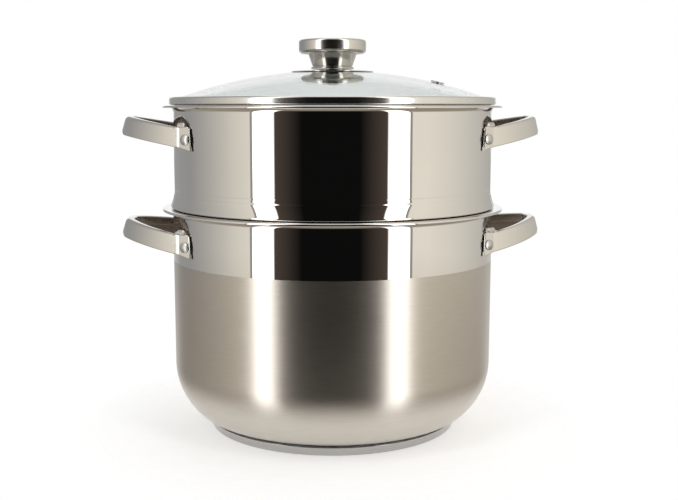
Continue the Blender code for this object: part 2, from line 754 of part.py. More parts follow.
def build_handle(owner, hand, wall_radius, rim, steels, parent):
    """One handle with its two lugs and rivets, made on the +X side and turned into place."""
    plan = HandlePlan(wall_radius)
    depth = rivet_hole_depth(plan)
    mount = rim - HANDLE_DROP - RIVET_HEIGHT
    turn = Matrix.Rotation(math.pi if hand == "left" else 0.0, 4, "Z")
    polished, riveted = steels

    strap = strap_mesh(plan, mount)
    bmesh.ops.transform(strap, matrix=turn, verts=strap.verts)
    handle = add_piece(f"{owner}_handle_{hand}", strap, polished, parent)

    for side in (1.0, -1.0):
        place_name = "rear" if side * (1.0 if hand == "right" else -1.0) > 0.0 else "front"
        label = f"{hand}_{place_name}"
        lug = lug_mesh(plan, mount, side)
        bmesh.ops.transform(lug, matrix=turn, verts=lug.verts)
        lug_piece = add_piece(f"{owner}_lug_{label}", lug, riveted, parent)
        frame = turn @ rivet_frame(plan, mount, side)
        add_piece(f"{owner}_rivet_{label}", rivet_mesh(frame, depth), riveted, parent)
        cutter = rivet_cutter(f"{owner}_rivet_cutter_{label}", frame, depth)
        cut(handle, cutter)
        cut(lug_piece, cutter)


def add_axis(name, height):
    """Empty on the pot's axis, at the height where a lifted-off group rests."""
    axis = bpy.data.objects.new(name, None)
    axis.location = (0.0, 0.0, height)
    axis.empty_display_size = 0.5 * POT_RADIUS
    bpy.context.collection.objects.link(axis)
    return axis


def main():
    clear_scene()
    polished = material("polished_steel", (0.75, 0.73, 0.70), 0.08, 1.0)
    brushed = material("brushed_steel", (0.66, 0.64, 0.61), 0.30, 1.0)
    fastener = material("fastener_steel", (0.68, 0.67, 0.65), 0.22, 1.0)
    aluminium = material("aluminium", (0.70, 0.71, 0.72), 0.40, 1.0)
    glass = glass_material("clear_glass", (0.93, 0.97, 0.96))
    silicone = material("silicone", (0.85, 0.85, 0.83), 0.60, 0.0)

    build_base(brushed, aluminium)
    build_pot_shell(brushed)
    steels = (polished, fastener)
    for hand in ("left", "right"):
        build_handle("pot", hand, POT_RADIUS, POT_HEIGHT, steels, None)

    steamer_axis = add_axis("steamer_lift_axis", POT_HEIGHT)
    build_steamer_shell(polished, steamer_axis)
    for hand in ("left", "right"):
        build_handle("steamer", hand, STEAMER_RADIUS, STEAMER_TOP, steels, steamer_axis)

    lid_axis = add_axis("lid_lift_axis", STEAMER_TOP)
    vent = vent_frame()
    build_lid_rim(polished, lid_axis)
    build_lid_glass(glass, lid_axis, vent)
    build_vent(fastener, lid_axis, vent)
    build_knob(polished, silicone, lid_axis)


main()
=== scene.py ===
"""Looks of the couscous pot: steel, glass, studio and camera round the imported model."""

import math

import bmesh
import bpy
import numpy as np
from mathutils import Matrix, Vector
from mathutils.geometry import delaunay_2d_cdt


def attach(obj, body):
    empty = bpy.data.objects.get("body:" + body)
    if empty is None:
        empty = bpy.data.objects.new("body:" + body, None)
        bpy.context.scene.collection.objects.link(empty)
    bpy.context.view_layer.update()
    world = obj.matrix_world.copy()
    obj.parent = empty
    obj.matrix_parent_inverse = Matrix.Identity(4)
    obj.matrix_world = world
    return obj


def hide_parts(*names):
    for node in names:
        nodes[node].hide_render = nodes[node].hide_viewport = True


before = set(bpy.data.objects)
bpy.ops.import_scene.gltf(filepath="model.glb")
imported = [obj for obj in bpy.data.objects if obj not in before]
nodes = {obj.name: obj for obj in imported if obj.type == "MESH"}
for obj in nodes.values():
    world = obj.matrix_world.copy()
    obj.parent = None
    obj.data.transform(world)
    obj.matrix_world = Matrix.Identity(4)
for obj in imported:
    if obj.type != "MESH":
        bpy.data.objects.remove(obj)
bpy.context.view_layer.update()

# All lengths are in metres. Pieces that touch on the real pot lie this far apart.
GAP = 0.0003

# Pot and its layered base. Above the polish line the pot's outside is polished, below brushed.
POT_RADIUS, POT_HEIGHT, SHEET = 0.1208, 0.1670, 0.0008
FLOOR_RADIUS, HEEL_RADIUS, CORNER_RADIUS = 0.08848, 0.0250, 0.0500
FLOOR_HEIGHT, BASE_RADIUS, BASE_HEIGHT, BASE_SKIN = 0.0069, 0.09528, 0.0066, 0.0006
POLISH_LINE = 0.1282

# Rims of pot and steamer: hollow under the rim, turned-down edge, bend over the wall, reach
RIM_FILLET, RIM_EDGE, RIM_BEND = 0.0040, 0.0009, 0.0008
POT_RIM_REACH, STEAMER_RIM_REACH = 0.0074, 0.0082

# Depth under the outer skin from which a face has the inside's finish, and how far below the
# steamer's top that finish ends
INSIDE_FROM, INSIDE_TOP = 0.00045, 0.002

# Steamer, its flare and the holes in its floor
STEAMER_RADIUS, STEAMER_TOP, STEAMER_FLOOR = 0.1193, 0.2427, 0.1395
SPIGOT_RADIUS, SPIGOT_CORNER, SEAT_BEND, BEAD_RADIUS = 0.1184, 0.0120, 0.0010, 0.1212
FLARE_FOOT, FLARE_RISE, FLARE_GAP, FLARE_OUT, FLARE_POWER = 0.16858, 0.0086, 0.0004, 0.00246, 1.35
HOLE_RADIUS, HOLE_PITCH, HOLE_RINGS, HOLE_SIDES = 0.0025, 0.0160, 5, 20

# Lid: band, domed glass with a fillet round the dome, and the vent's place on it
LID_RADIUS, LID_SHEET = 0.1223, 0.0006
LID_SEAT = STEAMER_TOP + GAP
GLASS_TOP = 0.2479
GLASS_RADIUS, GLASS_THICK, GLASS_BEND = 0.1214, 0.0040, 0.0010
DOME_FOOT, DOME_RISE, DOME_FILLET = 0.1181, 0.0206, 0.0100
DOME_RADIUS = 0.5 * (DOME_FOOT ** 2 + DOME_RISE ** 2) / DOME_RISE - DOME_FILLET
DOME_CENTRE = GLASS_TOP + DOME_RISE - DOME_RADIUS
VENT_RADIUS, VENT_ANGLE = 0.0800, math.radians(-20.0)
SCREW_HOLE, VENT_HOLE, VENT_DRILL = 0.0045, 0.0036, 0.0160

# Knob: heights of its pieces one over the other, bore for the screw, edge of the plate
GLASS_CROWN = GLASS_TOP + DOME_RISE
FOOT_BOTTOM = GLASS_CROWN + 0.0015
STEM_BOTTOM = FOOT_BOTTOM + 0.0015
CAP_BOTTOM = STEM_BOTTOM + 0.0097
SCREW_BORE, PLATE_RADIUS = 0.0026, 0.0310

# Handles: plan of the loop, pad at the wall, section of the strap, place of the rivets
REACH, SPAN, TIP_RADIUS, SIDE_ANGLE = 0.0392, 0.1240, 0.0270, math.radians(28.0)
PAD_ANGLE, PAD_LENGTH = math.radians(36.0), 0.0098
PAD_DROP, PAD_RISE, PAD_CORNER = 0.0024, 0.0008, 0.0015
STRAP, END_HEIGHT, TIP_HEIGHT, RISE = 0.0012, 0.0142, 0.0138, 0.0082
LEDGE_STOP, END_LEDGE, MORE_LEDGE = 0.0050, 0.0032, 0.0044
END_SHOULDER, MORE_SHOULDER, TIP_CURL, CURL_HEIGHT = 0.0022, 0.0008, 0.0017, 0.0040
LEAN_END, LEAN_TIP = 0.05, 0.32
RIVET_DROP, RIVET_HEIGHT, RIVET_INSET = 0.0239, 0.0057, 0.0047

# Heights of the points up the foot of the strap, rings along half a loop, shares of the way
# over the crease, and rings of the pad: share of its length from the wall, share of its corner
LEVELS = np.array([0.0008, 0.0016, 0.0024, 0.0032, 0.0040])
TIP_RINGS, SIDE_RINGS, FADE_RINGS = 15, 30, 10
CREASE_RINGS = (0.94, 0.98)
PAD_RINGS = (
    (1.0, 0.0), (0.96, 0.0), (0.5, 0.0), (0.16, 0.0), (0.08, 0.3), (0.02, 0.75), (0.0, 1.0),
)

# Faces between these columns of the strap's section are its outside; the rest, inside the loop and
# round the lip, get a duller steel coloured dark brown as painted shade
OUTSIDE_FIRST, OUTSIDE_LAST = 8, 36

# Sides of a round piece, of a small one, and the angle past which an edge stays sharp
ROUND, SMALL_ROUND = 256, 48
SHARP_EDGE = math.radians(38.0)

# Table top under the pot, and the camera, whose lens and shift were fitted to the photo
TABLE_RADIUS, TABLE_SIDES, TABLE_LEVEL, TABLE_FADE = 0.21, 128, -0.0002, (0.13, 0.20)
PHOTO_WIDTH, LENS_PIXELS, SHIFT_PIXELS, SENSOR = 678.0, 1037.7, 6.51, 36.0
CAMERA_TURN, CAMERA_DIP, CAMERA_PLACE = -4.0, 7.89, (0.0, -0.7925, 0.2421)

# Colours of the studio: red, green and blue, where 1 is white
WHITE, PANEL = (1.0, 1.0, 1.0), (3.0, 3.0, 3.0)
FRONT_WALL, BACK_WALL, LEFT_WALL = (0.95, 0.90, 0.80), (0.45, 0.44, 0.42), (0.35, 0.35, 0.35)
ROOM_FLOOR, PANEL_FRAME = (0.35, 0.30, 0.25), (0.35, 0.34, 0.32)
OPENING_EDGE, OPENING = (0.08, 0.06, 0.05), (0.005, 0.005, 0.005)
TABLE_COLOUR, TABLE_LIFT = (0.80, 0.78, 0.75), (0.45, 0.46, 0.47)


# Shapes that the pieces share

def compass(angle):
    """Level direction (cos a, sin a) of each angle a."""
    return np.stack((np.cos(angle), np.sin(angle)), -1)


def arc(r, z, radius, start, end, steps=10):
    """Points (r + radius cos a, z + radius sin a), a running evenly from start to end degrees."""
    a = np.radians(np.linspace(start, end, steps + 1))
    return np.column_stack((r + radius * np.cos(a), z + radius * np.sin(a)))


def outline(*parts):
    """Chain of arcs and points; long straight runs between them get a point near each end,
    so that the shading of a curve doesn't reach into the straight run beside it."""
    long_run, near, far = 0.0030, 0.0004, 0.0012
    points = np.vstack([np.atleast_2d(part) for part in parts])
    chain = [points[:1]]
    for first, second in zip(points, points[1:]):
        length = np.hypot(*(second - first))
        if length > long_run:
            stops = np.array([near, far, 0.5 * length, length - far, length - near])
            chain.append(first + (stops / length)[:, None] * (second - first))
        chain.append(second[None])
    return np.vstack(chain)


def shade(mesh):
    """Smooth shading, broken at edges sharper than SHARP_EDGE."""
    mesh.shade_smooth()
    mesh.set_sharp_from_angle(angle=SHARP_EDGE)


def make_object(name, points, faces, finishes, slots=None):
    """Mesh from arrays, with outward faces, smooth shading and its finishes."""
    mesh = bpy.data.meshes.new(name)
    mesh.from_pydata(points.tolist(), [], faces)
    for finish in finishes:
        mesh.materials.append(finish)
    if slots is not None:
        mesh.polygons.foreach_set("material_index", np.asarray(slots, np.int32))
    mesh.update()
    merged = bmesh.new()
    merged.from_mesh(mesh)
    bmesh.ops.remove_doubles(merged, verts=merged.verts, dist=1e-7)
    bmesh.ops.recalc_face_normals(merged, faces=merged.faces)
    merged.to_mesh(mesh)
    merged.free()
    shade(mesh)
    piece = bpy.data.objects.new(name, mesh)
    bpy.context.collection.objects.link(piece)
    return piece


def grid_faces(rows, columns, close_rows=False):
    """Quads of a grid of points numbered row by row; each row's end joins its start."""
    i = np.arange(rows if close_rows else rows - 1)[:, None]
    j = np.arange(columns)[None, :]
    ni, nj = (i + 1) % rows, (j + 1) % columns
    corners = (i * columns + j, i * columns + nj, ni * columns + nj, ni * columns + j)
    return np.stack(corners, -1).reshape(-1, 4)


def turned(name, chain, finishes, pick=None, sides=ROUND, closed=True, frame_matrix=None):
    """Surface of revolution: (r cos t, r sin t, z) for each profile point (r, z) and turn t.
    A closed chain joins its ends; an open one starts and ends on the axis. Pick gives the
    finish of the faces between two profile points from the place midway between them."""
    t = np.linspace(0.0, 2.0 * math.pi, sides, endpoint=False)
    r, z = chain[:, :1], chain[:, 1:]
    points = np.stack((r * np.cos(t), r * np.sin(t), z + 0.0 * t), -1).reshape(-1, 3)
    faces = grid_faces(len(chain), sides, close_rows=closed)
    slots = None
    if pick:
        middles = 0.5 * (chain + np.roll(chain, -1, 0))[: len(faces) // sides]
        slots = np.repeat([pick(*middle) for middle in middles], sides)
    if frame_matrix is not None:
        m = np.array(frame_matrix)
        points = points @ m[:3, :3].T + m[:3, 3]
    return make_object(name, points, faces.tolist(), finishes, slots)


# Nodes that the finishes share

def finish(name, colour, roughness, metallic=1.0):
    """New material with one colour, roughness and metallic share."""
    material = bpy.data.materials.new(name)
    material.use_nodes = True
    shader = material.node_tree.nodes["Principled BSDF"]
    shader.inputs["Base Color"].default_value = (*colour, 1.0)
    shader.inputs["Roughness"].default_value = roughness
    shader.inputs["Metallic"].default_value = metallic
    return material, material.node_tree, shader


def noise(tree, vector, scale, detail=2.0):
    """Cloudy pattern between 0 and 1, mostly near 0.5."""
    node = tree.nodes.new("ShaderNodeTexNoise")
    node.inputs["Scale"].default_value = scale
    node.inputs["Detail"].default_value = detail
    tree.links.new(vector, node.inputs["Vector"])
    return node.outputs["Fac"]


def remap(tree, value, low, high, bottom=0.35, top=0.65):
    """Value stretched from bottom..top to low..high, and held at low and high beyond."""
    node = tree.nodes.new("ShaderNodeMapRange")
    for key, number in (("From Min", bottom), ("From Max", top), ("To Min", low), ("To Max", high)):
        node.inputs[key].default_value = number
    tree.links.new(value, node.inputs["Value"])
    return node.outputs["Result"]


def math_node(tree, operation, first, second=None):
    """One step of arithmetic on numbers or other nodes' values."""
    node = tree.nodes.new("ShaderNodeMath")
    node.operation = operation
    for socket, value in zip(node.inputs, (first, second)):
        if value is None:
            continue
        if isinstance(value, (int, float)):
            socket.default_value = value
        else:
            tree.links.new(value, socket)
    return node.outputs["Value"]


def place(tree):
    """Place on the piece, from its own origin."""
    return tree.nodes.new("ShaderNodeTexCoord").outputs["Object"]


def parts_of(tree, vector):
    """The three parts of a vector."""
    node = tree.nodes.new("ShaderNodeSeparateXYZ")
    tree.links.new(vector, node.inputs["Vector"])
    return node.outputs


def from_axis(tree, x, y):
    """Distance from the Z axis: the root of x times x plus y times y."""
    squares = (math_node(tree, "MULTIPLY", x, x), math_node(tree, "MULTIPLY", y, y))
    return math_node(tree, "SQRT", math_node(tree, "ADD", *squares))


def round_the_pot(tree, along, up):
    """Vector (turn * along, z * up, radius * up): lines that run round the Z axis."""
    x, y, z = parts_of(tree, place(tree))
    turn = math_node(tree, "ARCTAN2", y, x)
    radius = from_axis(tree, x, y)
    join = tree.nodes.new("ShaderNodeCombineXYZ")
    for axis, value, stretch in (("X", turn, along), ("Y", z, up), ("Z", radius, up)):
        tree.links.new(math_node(tree, "MULTIPLY", value, stretch), join.inputs[axis])
    return join.outputs["Vector"]


def bump(tree, shader, height, strength, distance):
    """Fine relief of the surface that follows a pattern's height."""
    node = tree.nodes.new("ShaderNodeBump")
    node.inputs["Strength"].default_value = strength
    node.inputs["Distance"].default_value = distance
    tree.links.new(height, node.inputs["Height"])
    tree.links.new(node.outputs["Normal"], shader.inputs["Normal"])


def laid_over(tree, below, colour, factor):
    """Colour mixed over what lies below it: below * (1 - factor) + colour * factor."""
    mix = tree.nodes.new("ShaderNodeMix")
    mix.data_type = "RGBA"
    if isinstance(below, tuple):
        mix.inputs["A"].default_value = (*below, 1.0)
    else:
        tree.links.new(below, mix.inputs["A"])
    mix.inputs["B"].default_value = (*colour, 1.0)
    tree.links.new(factor, mix.inputs["Factor"])
    return mix.outputs["Result"]


def tint(tree, shader, value, dark, light):
    """Surface colour between a dark and a light one, where the value is 0 and 1."""
    tree.links.new(laid_over(tree, dark, light, value), shader.inputs["Base Color"])


def darker(colour, share):
    """The colour times a share."""
    return tuple(share * c for c in colour)


# Finishes

def polished_steel(name="polished_steel", colour=(0.77, 0.755, 0.725), rough=(0.012, 0.03)):
    """Mirror polish with faint smudges and the slight unevenness of drawn sheet."""
    material, tree, shader = finish(name, colour, rough[0])
    where = place(tree)
    smudge = noise(tree, where, scale=34.0, detail=4.0)
    tree.links.new(remap(tree, smudge, *rough), shader.inputs["Roughness"])
    clouds = remap(tree, noise(tree, where, scale=16.0, detail=3.0), 0.0, 1.0)
    tint(tree, shader, clouds, darker(colour, 0.97), colour)
    waves = noise(tree, where, scale=24.0, detail=1.0)
    bump(tree, shader, waves, strength=0.06, distance=0.0004)
    return material


def brushed_steel(name="brushed_steel", colour=(0.64, 0.60, 0.54), rough=(0.29, 0.33), aniso=0.65):
    """Satin with fine lines round the pot, a little lighter and duller from line to line."""
    material, tree, shader = finish(name, colour, rough[0])
    shader.inputs["Anisotropic"].default_value = aniso
    shader.inputs["Anisotropic Rotation"].default_value = 0.25
    lines = noise(tree, round_the_pot(tree, along=9.0, up=1500.0), scale=1.0, detail=3.0)
    clouds = noise(tree, place(tree), scale=22.0, detail=4.0)
    shares = (math_node(tree, "MULTIPLY", lines, 0.6), math_node(tree, "MULTIPLY", clouds, 0.4))
    both = math_node(tree, "ADD", *shares)
    tree.links.new(remap(tree, both, *rough), shader.inputs["Roughness"])
    shown = remap(tree, lines, 0.0, 1.0, bottom=0.3, top=0.7)
    tint(tree, shader, shown, darker(colour, 0.93), colour)
    bump(tree, shader, lines, strength=0.12, distance=0.00005)
    tangent = tree.nodes.new("ShaderNodeTangent")
    tangent.direction_type, tangent.axis = "RADIAL", "Z"
    tree.links.new(tangent.outputs["Tangent"], shader.inputs["Tangent"])
    return material


def lid_glass_finish():
    """Clear glass with a green cast, and a little dust that dulls its gloss here and there."""
    material, tree, shader = finish("lid_glass_clear", (0.93, 0.97, 0.955), 0.0, 0.0)
    shader.inputs["Transmission Weight"].default_value = 1.0
    shader.inputs["IOR"].default_value = 1.5
    dust = noise(tree, place(tree), scale=60.0, detail=4.0)
    tree.links.new(remap(tree, dust, 0.0, 0.015), shader.inputs["Roughness"])
    cast = remap(tree, noise(tree, place(tree), scale=12.0), 0.0, 1.0)
    tint(tree, shader, cast, (0.84, 0.89, 0.87), (0.88, 0.92, 0.905))
    return material


def plain_finish(name, colour, rough, metallic, grain, depth):
    """Even finish whose gloss and surface vary with a fine grain."""
    material, tree, shader = finish(name, colour, rough[0], metallic)
    height = noise(tree, place(tree), scale=grain, detail=4.0)
    tree.links.new(remap(tree, height, *rough), shader.inputs["Roughness"])
    tint(tree, shader, remap(tree, height, 0.0, 1.0), darker(colour, 0.94), colour)
    bump(tree, shader, height, strength=0.2, distance=depth)
    return material


polished = polished_steel()
band_steel = polished_steel("band_steel", rough=(0.13, 0.18))
brushed = brushed_steel()
inside = brushed_steel("inside_satin_steel", (0.72, 0.71, 0.69), (0.26, 0.36), 0.6)
base_satin = brushed_steel("base_satin_steel", (0.50, 0.49, 0.475), (0.16, 0.24), 0.4)
handle_steel = polished_steel("handle_steel", (0.76, 0.74, 0.70), (0.10, 0.17))
# Inner side and lip of the handle straps: duller steel whose dark brown colour is painted shade
strap_painted_shade = plain_finish(
    "strap_inner_painted_shade", (0.30, 0.26, 0.23), (0.30, 0.42), metallic=1.0, grain=300.0, depth=0.00002,
)
knob_steel = polished_steel("knob_steel", (0.67, 0.65, 0.61), (0.12, 0.18))
cap_steel = polished_steel("cap_steel", (0.67, 0.65, 0.61), (0.18, 0.22))
fastener = polished_steel("fastener_steel", (0.58, 0.57, 0.55), (0.26, 0.36))
aluminium = plain_finish(
    "base_aluminium", (0.70, 0.71, 0.72), (0.35, 0.5), metallic=1.0, grain=400.0, depth=0.00005,
)
silicone = plain_finish(
    "gasket_silicone", (0.85, 0.85, 0.83), (0.5, 0.65), metallic=0.0, grain=300.0, depth=0.00005,
)
clear_glass = lid_glass_finish()


def dress(piece, body, slot, *replaced):
    """Give a piece its moving body and hide the nodes it stands for; the slot is not used."""
    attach(piece, body)
    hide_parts(*replaced)
    return piece


# Pot and base

def rim_outline(wall, top, reach):
    """From the wall's outside up a hollow under the rim, out, round the turned-down edge, back
    over the flat top and down to the wall's inside."""
    under = top - SHEET
    edge = wall + reach - SHEET - RIM_EDGE
    return [
        arc(wall + RIM_FILLET, under - RIM_FILLET, RIM_FILLET, 180, 90, 14),
        arc(edge, under - RIM_EDGE, RIM_EDGE, 90, 0, 8),
        arc(edge, under - RIM_EDGE, RIM_EDGE + SHEET, 0, 90, 10),
        arc(wall + RIM_BEND, under - RIM_BEND, RIM_BEND + SHEET, 90, 180, 8),
    ]


def pot_body():
    """Drawn pot: flat floor, heel and corner arcs, wall, rim, then the same way back inside."""
    heel = (FLOOR_RADIUS, FLOOR_HEIGHT + HEEL_RADIUS)
    step = (CORNER_RADIUS - HEEL_RADIUS) * math.sqrt(0.5)
    corner = (POT_RADIUS - CORNER_RADIUS, heel[1] + step)
    chain = outline(
        (0.0, FLOOR_HEIGHT),
        arc(*heel, HEEL_RADIUS, -90, -45, 12),
        arc(*corner, CORNER_RADIUS, -45, 0, 16)[1:],
        (POT_RADIUS, POLISH_LINE),
        *rim_outline(POT_RADIUS, POT_HEIGHT, POT_RIM_REACH),
        arc(*corner, CORNER_RADIUS - SHEET, 0, -45, 12),
        arc(*heel, HEEL_RADIUS - SHEET, -45, -90, 8)[1:],
        (0.0, FLOOR_HEIGHT + SHEET),
    )

    def pick(r, z):
        """Polished above the line, brushed below it, and satin deeper than half the sheet."""
        if r > POT_RADIUS - INSIDE_FROM and z > POLISH_LINE:
            return 1
        if z < heel[1] - HEEL_RADIUS * math.sqrt(0.5):
            depth = HEEL_RADIUS - np.hypot(max(r - heel[0], 0.0), z - heel[1])
        elif z < corner[1]:
            depth = CORNER_RADIUS - np.hypot(r - corner[0], z - corner[1])
        else:
            depth = POT_RADIUS - r
        return 0 if depth < 0.5 * SHEET else 2

    return turned("pot_body", chain, [brushed, polished, inside], pick, closed=False)


def base_cap_body():
    """Shallow dish of the layered base: flat bottom, bevelled foot, side and turned top edge."""
    foot, bevel, edge = 0.09338, 0.0009, 0.0003
    chain = outline(
        (0.0, 0.0),
        arc(foot, bevel, bevel, -90, -10, 6),
        arc(BASE_RADIUS - edge, BASE_HEIGHT - 0.0008, edge, 0, 180, 8),
        (foot + 0.0003, 0.0010),
        (foot - 0.0002, BASE_SKIN),
        (0.0, BASE_SKIN),
    )
    return turned("base_cap_body", chain, [base_satin], closed=False)


# Steamer

def steamer_wall():
    """Spigot, bead that rests on the pot, flare, wall and rim, then the same way back inside.
    Up the flare the radius is the wall's, a small gap and FLARE_OUT times (1 - share of the
    height) to the FLARE_POWER."""
    seat = POT_HEIGHT + GAP
    low = SPIGOT_RADIUS - SPIGOT_CORNER
    up = np.linspace(0.0, 1.0, 14)
    flare = np.column_stack((
        STEAMER_RADIUS + FLARE_GAP + FLARE_OUT * (1.0 - up) ** FLARE_POWER,
        FLARE_FOOT + FLARE_RISE * up,
    ))
    # Small step and bead over the flare: how far each point stands out from the wall, height
    step_and_bead = np.array((
        (0.00036, 0.1775), (0.00022, 0.1779), (0.00006, 0.1783), (0.0, 0.1788),
        (0.0, 0.1814), (0.00004, 0.1817), (0.0, 0.1820),
    ))
    chain = outline(
        (low - 0.0004, STEAMER_FLOOR),
        arc(low, STEAMER_FLOOR + SPIGOT_CORNER, SPIGOT_CORNER, -90, 0, 12),
        arc(SPIGOT_RADIUS + SEAT_BEND, seat - SEAT_BEND, SEAT_BEND, 180, 90, 6),
        arc(BEAD_RADIUS, seat + SEAT_BEND, SEAT_BEND, -90, 16, 8),
        flare,
        step_and_bead + (STEAMER_RADIUS, 0.0),
        *rim_outline(STEAMER_RADIUS, STEAMER_TOP, STEAMER_RIM_REACH),
        (STEAMER_RADIUS - SHEET, 0.1780), (0.1211, 0.1690), (0.1205, 0.1681),
        (SPIGOT_RADIUS - SHEET, 0.1674),
        arc(low, STEAMER_FLOOR + SPIGOT_CORNER, SPIGOT_CORNER - SHEET, 0, -90, 10),
        (low - 0.0004, STEAMER_FLOOR + SHEET),
    )

    def pick(r, z):
        """Satin on the inside up to the rim, polished elsewhere."""
        return 1 if r < STEAMER_RADIUS - INSIDE_FROM and z < STEAMER_TOP - INSIDE_TOP else 0

    return turned("steamer_wall", chain, [polished, inside], pick)


def steamer_floor():
    """Perforated disc: a flat triangulated sheet with round holes in rings, given two faces and
    the walls of its holes. Ring n has 6 n holes at radius n times the pitch; the odd rings are
    turned by half a hole."""
    rim = SPIGOT_RADIUS - SPIGOT_CORNER
    centres = [(0.0, 0.0)]
    for ring in range(1, HOLE_RINGS + 1):
        turn = 2.0 * math.pi * (np.arange(6 * ring) + 0.5 * (ring % 2)) / (6 * ring)
        centres += (HOLE_PITCH * ring * compass(turn)).tolist()
    round_hole = HOLE_RADIUS * compass(2.0 * math.pi * np.arange(HOLE_SIDES) / HOLE_SIDES)
    round_disc = rim * compass(2.0 * math.pi * np.arange(ROUND) / ROUND)
    flat = np.vstack([round_disc] + [np.add(centre, round_hole) for centre in centres])
    starts = [ROUND + HOLE_SIDES * k for k in range(len(centres))]
    loops = [range(ROUND)] + [range(start, start + HOLE_SIDES) for start in starts]
    borders = [pair for loop in loops for pair in zip(loop, (*loop[1:], loop[0]))]

    found = delaunay_2d_cdt([Vector(point) for point in flat.tolist()], borders, [], 0, 1e-7)
    corners = np.array([corner[:] for corner in found[0]])
    faces = np.array([face for face in found[2] if len(face) == 3])
    middles = corners[faces].mean(1)
    to_holes = np.linalg.norm(middles[:, None] - np.array(centres)[None], axis=2).min(1)
    in_disc = np.linalg.norm(middles, axis=1) < rim
    faces = faces[(to_holes > HOLE_RADIUS * 0.99) & in_disc]
    index = np.zeros(len(flat), int)
    for made, sources in enumerate(found[3]):
        index[sources] = made

    n = len(corners)
    lower = np.column_stack((corners, np.full(n, STEAMER_FLOOR)))
    upper = np.column_stack((corners, np.full(n, STEAMER_FLOOR + SHEET)))
    first, second = index[np.array(borders)].T
    walls = np.stack((first, second, second + n, first + n), -1)
    every = faces[:, ::-1].tolist() + (faces + n).tolist() + walls.tolist()
    return make_object("steamer_floor", np.vstack((lower, upper)), every, [inside])


# Lid

def lid_band():
    """Folded band: skirt, seat, outer wall and the lip over the glass, a sheet thick all along."""
    skirt, foot = STEAMER_RADIUS - SHEET - 0.0006, LID_SEAT - 0.0065
    top = GLASS_TOP + GAP + LID_SHEET
    neck, bend, crown, lip, s = 0.0009, 0.0012, 0.0018, 0.0052, LID_SHEET
    chain = outline(
        (skirt, foot),
        arc(skirt + neck, LID_SEAT - neck, neck, 180, 90, 6),
        arc(LID_RADIUS - bend, LID_SEAT + bend, bend, -90, 0, 8),
        arc(LID_RADIUS - crown, top - crown, crown, 0, 90, 12),
        arc(LID_RADIUS - lip, top - 0.5 * s, 0.5 * s, 90, 270, 8),
        arc(LID_RADIUS - crown, top - crown, crown - s, 90, 0, 8),
        arc(LID_RADIUS - bend, LID_SEAT + bend, bend - s, 0, -90, 6),
        arc(skirt + neck, LID_SEAT - neck, neck + s, 90, 180, 6)[:-1],
        (skirt - s, foot),
    )
    return turned("lid_band", chain, [band_steel])


def dome(radius, drop=0.0):
    """Height of the dome at a radius: its centre plus the root of the sphere's radius, less the
    drop, squared minus the radius squared."""
    return DOME_CENTRE + np.sqrt((DOME_RADIUS - drop) ** 2 - np.square(radius))


def vent_frame():
    """Frame of the vent: origin on top of the dome, Z along the dome's normal there."""
    tilt = math.asin(VENT_RADIUS / DOME_RADIUS)
    middle = Vector((VENT_RADIUS, 0.0, float(dome(VENT_RADIUS))))
    upright = Matrix.Translation(middle) @ Matrix.Rotation(tilt, 4, "Y")
    return Matrix.Rotation(VENT_ANGLE, 4, "Z") @ upright


def lid_glass_body():
    """Dome: sphere cap on top, hollow fillet and flat edge, then a second sphere below it; a
    hole is bored through it for the vent."""
    slope = math.atan2(DOME_FOOT, GLASS_TOP + DOME_FILLET - DOME_CENTRE)
    lean = -90 - math.degrees(slope)
    over = np.linspace(SCREW_HOLE, DOME_RADIUS * math.sin(slope), 40)
    under = np.linspace((DOME_RADIUS - GLASS_THICK) * math.sin(slope), SCREW_HOLE, 30)
    fillet = (DOME_FOOT, GLASS_TOP + DOME_FILLET)
    ring = GLASS_RADIUS - GLASS_BEND
    chain = np.vstack((
        np.column_stack((over, dome(over))),
        arc(*fillet, DOME_FILLET, lean, -90, 10)[1:],
        arc(ring, GLASS_TOP - GLASS_BEND, GLASS_BEND, 90, 0, 5),
        arc(ring, GLASS_TOP - GLASS_THICK + GLASS_BEND, GLASS_BEND, 0, -90, 5),
        arc(*fillet, DOME_FILLET + GLASS_THICK, -90, lean, 10),
        np.column_stack((under, dome(under, GLASS_THICK)))[1:],
    ))
    body = turned("lid_glass_body", chain, [clear_glass])
    drill = bpy.data.objects.new("drill", bpy.data.meshes.new("drill"))
    shape = bmesh.new()
    bmesh.ops.create_cone(
        shape, cap_ends=True, segments=SMALL_ROUND, radius1=VENT_HOLE, radius2=VENT_HOLE,
        depth=VENT_DRILL, matrix=vent_frame(),
    )
    shape.to_mesh(drill.data)
    shape.free()
    bpy.context.collection.objects.link(drill)
    hole = body.modifiers.new("vent_hole", "BOOLEAN")
    hole.operation, hole.solver, hole.object = "DIFFERENCE", "EXACT", drill
    bpy.context.view_layer.update()
    cut = body.evaluated_get(bpy.context.evaluated_depsgraph_get())
    made = bpy.data.meshes.new_from_object(cut)
    body.modifiers.clear()
    body.data = made
    bpy.data.objects.remove(drill)
    shade(made)
    return body


def vent_body():
    """Eyelet: domed flange above the glass, tube through it, rolled tail below."""
    under = -GLASS_THICK - 0.0006
    flange, tail = 0.0006, 0.0003
    chain = outline(
        arc(0.0026, flange, flange, 180, 90, 6),
        arc(0.0045, flange, flange, 90, -25, 8),
        (0.0033, GAP),
        (0.0033, under),
        arc(0.0043, under - tail, tail, 90, -90, 6),
        (0.0020, under - 0.0006),
    )
    return turned("vent_body", chain, [fastener], sides=SMALL_ROUND, frame_matrix=vent_frame())


# Knob

def knob_plate():
    """Sheet that follows the dome a gap above it: 0.9 mm thick less 0.4 mm times the square of
    the share of its radius."""
    r = np.linspace(SCREW_BORE, PLATE_RADIUS - 0.0001, 16)
    low = dome(r) + GAP
    top = low + 0.0009 - 0.0004 * (r / PLATE_RADIUS) ** 2
    edge = [[PLATE_RADIUS, float(dome(PLATE_RADIUS)) + 0.0005]]
    chain = np.vstack((np.column_stack((r, top)), edge, np.column_stack((r, low))[::-1]))
    return turned("knob_plate", chain, [knob_steel], sides=160)


